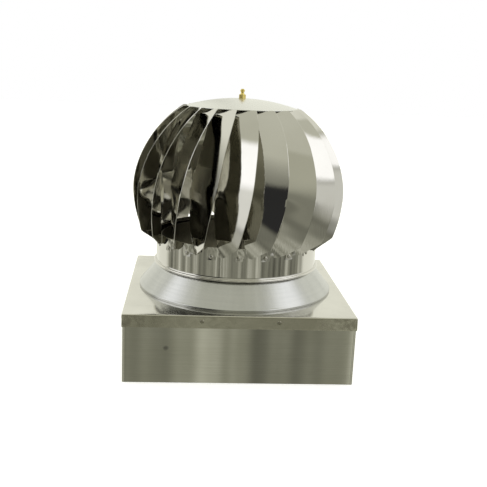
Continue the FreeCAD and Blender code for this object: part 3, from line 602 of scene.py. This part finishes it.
lid.data.materials.append(LOOK["sheet_steel"])
lid.data.materials.append(flange_metal())
lid.data.polygons.foreach_set("material_index", [1 if abs(p.normal.z) < 0.6 and p.center.z < 0.0902 else 0 for p in lid.data.polygons])
sleeve.data.materials.append(rolled("sleeve_look", (0.58, 0.575, 0.51), (0.66, 0.655, 0.60), (0.012, 0.03), 0.16, (-0.094, -0.1489, 0.0468)))


# ---------------------------------------------------------------- stage
# A plain pale floor and a white surround. The light is a plain soft studio set:
# a soft box on each side, a grey card and a black flag in front, pale paper
# behind, by bearing and height in degrees. Bearing 0 is straight in front of
# the part, minus is to its left.
def world():
    w = bpy.data.worlds.new("studio")
    scene.world = w
    w.use_nodes = True
    g = Nodes(w.node_tree)
    out = g.add("ShaderNodeOutputWorld")
    way = g.add("ShaderNodeTexCoord").outputs["Generated"]
    sep = g.add("ShaderNodeSeparateXYZ", {0: way}).outputs
    deg = 180.0 / math.pi
    el = g.math("MULTIPLY", g.math("ARCSINE", sep[2]), deg)
    az = g.math("MULTIPLY", g.math("ARCTAN2", sep[0], g.math("MULTIPLY", sep[1], -1.0)), deg)
    # the set's edges are a little uneven, as cloth and paper are
    uneven = g.noise(way, 3.0, 2.0)
    el_w = g.math("ADD", el, g.math("MULTIPLY", g.math("SUBTRACT", uneven, 0.5), 3.0))

    def step(v, at, soft):
        n = g.add("ShaderNodeMapRange", {0: v, 1: at - soft, 2: at + soft, 3: 0.0, 4: 1.0}, interpolation_type="SMOOTHSTEP")
        return n.outputs[0]

    def span(v, lo, hi, s0, s1):
        return g.math("MULTIPLY", step(v, lo, s0), g.math("SUBTRACT", 1.0, step(v, hi, s1)))

    def panel(col, a0, a1, e0, e1, colour, sa, se):
        m = g.math("MULTIPLY", span(az, a0, a1, sa, sa), span(el, e0, e1, se, se))
        return g.mix(m, col, (*colour, 1.0))

    # room by height: grey floor, dark skirting, pale ceiling
    col = g.ramp(g.remap(el_w, -30.0, 90.0, 0.0, 1.0), [
        (0.00, (0.25, 0.25, 0.20)), (0.20, (0.10, 0.10, 0.08)), (0.35, (0.10, 0.10, 0.08)),
        (0.60, (0.60, 0.60, 0.50)), (1.00, (0.65, 0.65, 0.55))])
    # low down, pale cloth that hangs in soft folds
    folds = g.noise(g.add("ShaderNodeCombineXYZ", {0: g.math("MULTIPLY", az, 0.12), 1: 0.5, 2: 0.5}).outputs[0], 1.0, 3.0, 0.6)
    cloth = g.ramp(folds, [(0.38, (0.10, 0.10, 0.08)), (0.52, (0.30, 0.30, 0.24)), (0.66, (0.75, 0.75, 0.65))])
    col = g.mix(g.math("SUBTRACT", 1.0, step(el, -12.0, 3.0)), col, cloth)
    # grey card in front, black flag to the left of it
    col = panel(col, -20, 30, -5, 45, (0.50, 0.50, 0.40), 5.0, 3.0)
    col = panel(col, -20, 30, -10, 15, (0.25, 0.25, 0.20), 5.0, 10.0)
    col = panel(col, -70, -20, -10, 20, (0.03, 0.03, 0.03), 4.0, 2.0)
    # soft box on each side, with a pale card under it
    col = panel(col, -110, -60, -10, 20, (0.90, 0.90, 0.85), 3.0, 5.0)
    col = panel(col, -110, -60, 15, 45, (1.40, 1.40, 1.40), 3.0, 3.0)
    col = panel(col, 30, 110, -10, 20, (0.75, 0.75, 0.70), 5.0, 5.0)
    col = panel(col, 35, 100, 20, 50, (1.40, 1.40, 1.40), 4.0, 2.0)
    # pale paper behind the part
    col = panel(col, 105, 181, -30, 60, (0.90, 0.90, 0.80), 6.0, 6.0)
    col = panel(col, -181, -115, -30, 60, (0.90, 0.90, 0.80), 6.0, 6.0)

    studio = g.add("ShaderNodeBackground", {"Color": col, "Strength": 1.1})
    white = g.add("ShaderNodeBackground", {"Color": (1.0, 1.0, 1.0, 1.0), "Strength": 1.0})
    seen = g.add("ShaderNodeLightPath").outputs["Is Camera Ray"]
    both = g.add("ShaderNodeMixShader", {0: seen, 1: studio.outputs[0], 2: white.outputs[0]})
    g.tree.links.new(both.outputs[0], out.inputs[0])


world()
scene.view_settings.view_transform = "Standard"

floor_me = bpy.data.meshes.new("floor")
floor_me.from_pydata([(-6, -6, -0.0005), (6, -6, -0.0005), (6, 6, -0.0005), (-6, 6, -0.0005)], [], [(0, 1, 2, 3)])
floor = bpy.data.objects.new("floor", floor_me)
scene.collection.objects.link(floor)
floor.visible_glossy = False
fm = material("floor_paper")
grain = fm.noise(fm.co, 60.0, 3.0)
link(fm, "Base Color", fm.ramp(grain, [(0.3, (0.93, 0.93, 0.93)), (0.7, (0.96, 0.96, 0.96))]))
fm.bsdf.inputs["Roughness"].default_value = 0.9
fm.bsdf.inputs["Emission Color"].default_value = (1.0, 1.0, 1.0, 1.0)
fm.bsdf.inputs["Emission Strength"].default_value = 0.5
floor.data.materials.append(fm.mat)

# ---------------------------------------------------------------- camera
cam_data = bpy.data.cameras.new("camera")
cam = bpy.data.objects.new("camera", cam_data)
scene.collection.objects.link(cam)
right = Vector((0.99686, -0.06668, 0.04264)).normalized()
ahead = Vector((0.07470, 0.97075, -0.22818)).normalized()
up = right.cross(ahead).normalized()
right = ahead.cross(up).normalized()
m = Matrix((right, up, -ahead)).transposed().to_4x4()
m.translation = Vector((-0.0706, -1.0602, 0.3995))
cam.matrix_world = m
cam_data.sensor_width = 36.0
cam_data.lens = 56.26
cam_data.shift_x = -0.0009
cam_data.clip_start, cam_data.clip_end = 0.01, 50.0
scene.camera = cam
